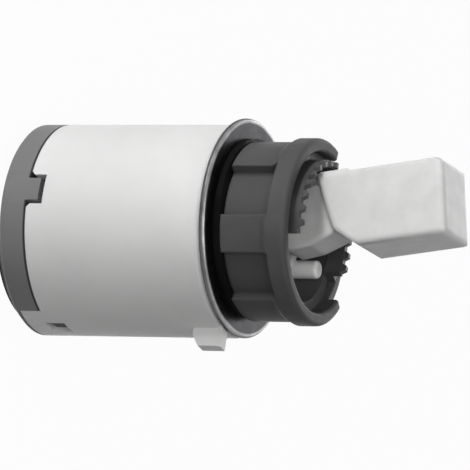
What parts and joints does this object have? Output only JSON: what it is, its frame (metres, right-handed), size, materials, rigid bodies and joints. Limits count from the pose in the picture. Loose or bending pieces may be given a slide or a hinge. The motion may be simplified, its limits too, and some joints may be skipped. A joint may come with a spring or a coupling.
{
  "type": "faucet cartridge",
  "caption": "Single-lever mixing cartridge with ceramic discs: a lever on a cylindrical housing meters and mixes hot and cold water.",
  "frame": {"origin": "on the cartridge's axis, in the plane of the base's underside; the bosses, seals and pegs stand 1.9 mm below it", "axes": "+Z along the axis from the base to the lever; +Y towards the key tab; the lever leans to -Y at rest"},
  "size_m": [0.0473, 0.0514, 0.0988],
  "materials": {
    "base_plastic": "satin moulded plastic",
    "seal_rubber": "matt rubber",
    "ceramic": "lapped ceramic",
    "carrier_plastic": "moulded plastic",
    "housing_plastic": "satin moulded plastic",
    "rotor_plastic": "satin moulded plastic",
    "slide_plastic": "low-friction plastic",
    "pin_steel": "ground steel",
    "lever_plastic": "fine moulded grain",
    "dog_plastic": "moulded plastic",
    "peg_plastic": "satin moulded plastic",
    "slip_rubber": "matt rubber",
    "washer_steel": "polished edge, turned face",
    "collar_plastic": "satin moulded plastic",
    "toothed_plastic": "satin moulded plastic"
  },
  "bodies": {
    "base": {"base_plate": "base_plastic", "cold_port_seal": "seal_rubber", "hot_port_seal": "seal_rubber", "outlet_port_seal": "seal_rubber", "cold_disc_seal": "seal_rubber", "hot_disc_seal": "seal_rubber", "outlet_disc_seal": "seal_rubber", "fixed_disc": "ceramic", "housing": "housing_plastic", "slide_ring": "slide_plastic", "stop_peg_left": "peg_plastic", "stop_peg_right": "peg_plastic", "slip_ring": "slip_rubber", "thrust_washer": "washer_steel", "limiter_collar": "collar_plastic", "toothed_ring": "toothed_plastic"},
    "rotor": {"rotor": "rotor_plastic", "pivot_pin": "pin_steel", "stop_dog": "dog_plastic"},
    "lever": {"lever": "lever_plastic"},
    "carrier": {"disc_carrier": "carrier_plastic", "moving_disc": "ceramic"}
  },
  "joints": [
    {"name": "temperature", "type": "hinge", "parent": "base", "child": "rotor", "pos_m": [0, 0, 0.046], "axis": [0, 0, 1], "range_deg": [-50, 30]},
    {"name": "flow", "type": "hinge", "parent": "rotor", "child": "lever", "pos_m": [0, 0, 0.046], "axis": [-0.9848, -0.1736, 0], "range_deg": [0, 25]},
    {"name": "disc_slide", "type": "slide", "parent": "rotor", "child": "carrier", "axis": [0.1736, -0.9848, 0], "range_m": [0, 0.00691]}
  ],
  "couplings": [
    {"joint": "disc_slide", "follows": "flow", "m_per_rad": 0.015831}
  ]
}
